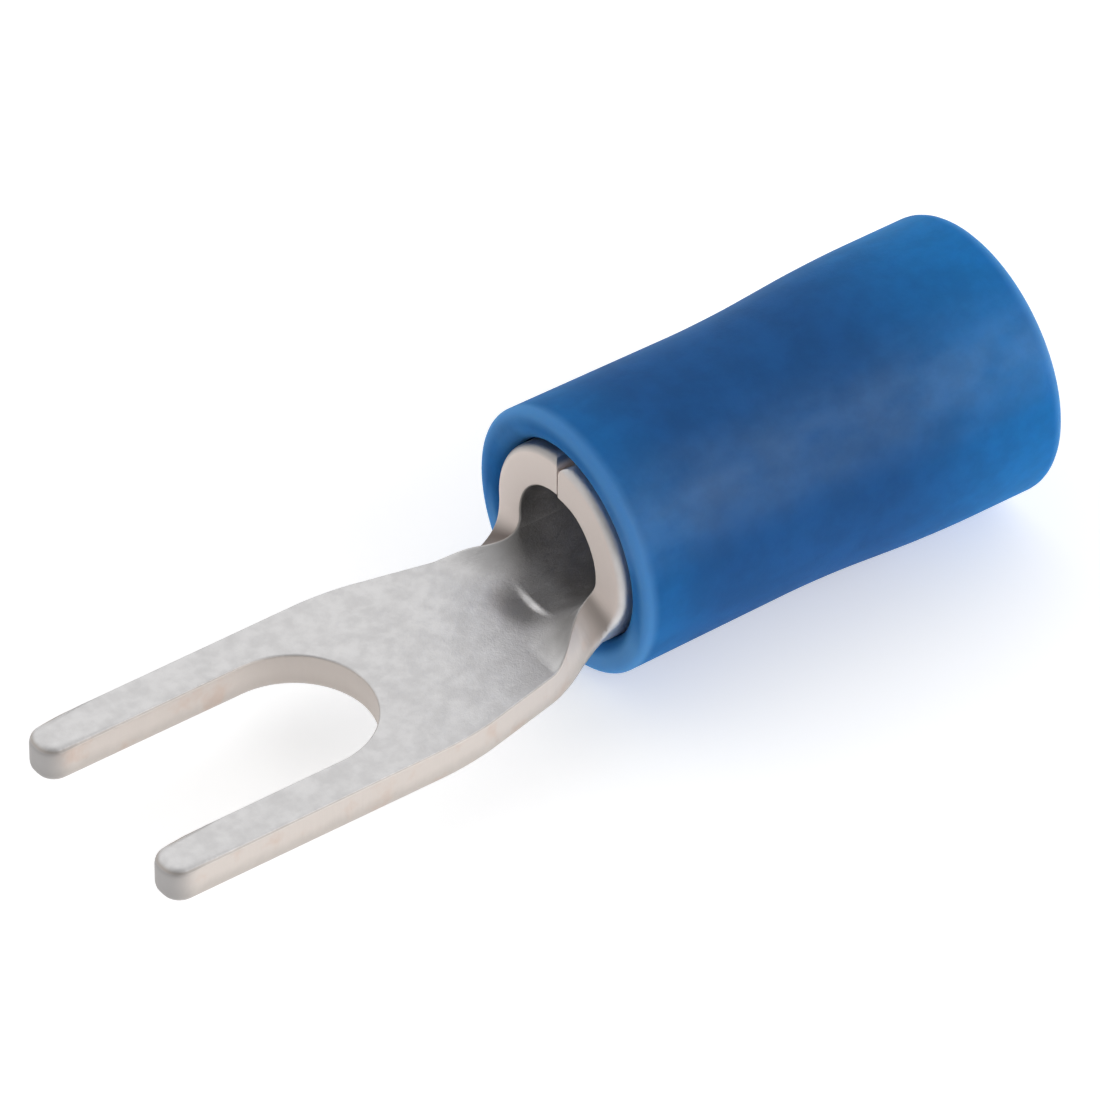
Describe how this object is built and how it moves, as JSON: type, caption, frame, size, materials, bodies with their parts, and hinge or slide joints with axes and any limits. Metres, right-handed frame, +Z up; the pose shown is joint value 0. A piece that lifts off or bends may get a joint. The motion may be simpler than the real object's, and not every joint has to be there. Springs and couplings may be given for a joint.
{
  "type": "fork terminal",
  "caption": "Insulated crimp fork terminal: flat slotted tongue for a screw, neck curling into a rolled barrel, and a blue plastic sleeve with a wider wire entry.",
  "frame": {"origin": "centre of the slot's round root, on the underside of the tongue", "axes": "+X along the terminal from the screw to the wire entry, +Z up out of the tongue's top face"},
  "size_m": [0.0203, 0.0056, 0.0057],
  "materials": {
    "tinned_copper": "matt tin plating over copper, with warmer sheared edges",
    "blue_plastic": "soft satin plastic"
  },
  "bodies": {
    "root": {"terminal": "tinned_copper", "sleeve": "blue_plastic"}
  },
  "joints": []
}
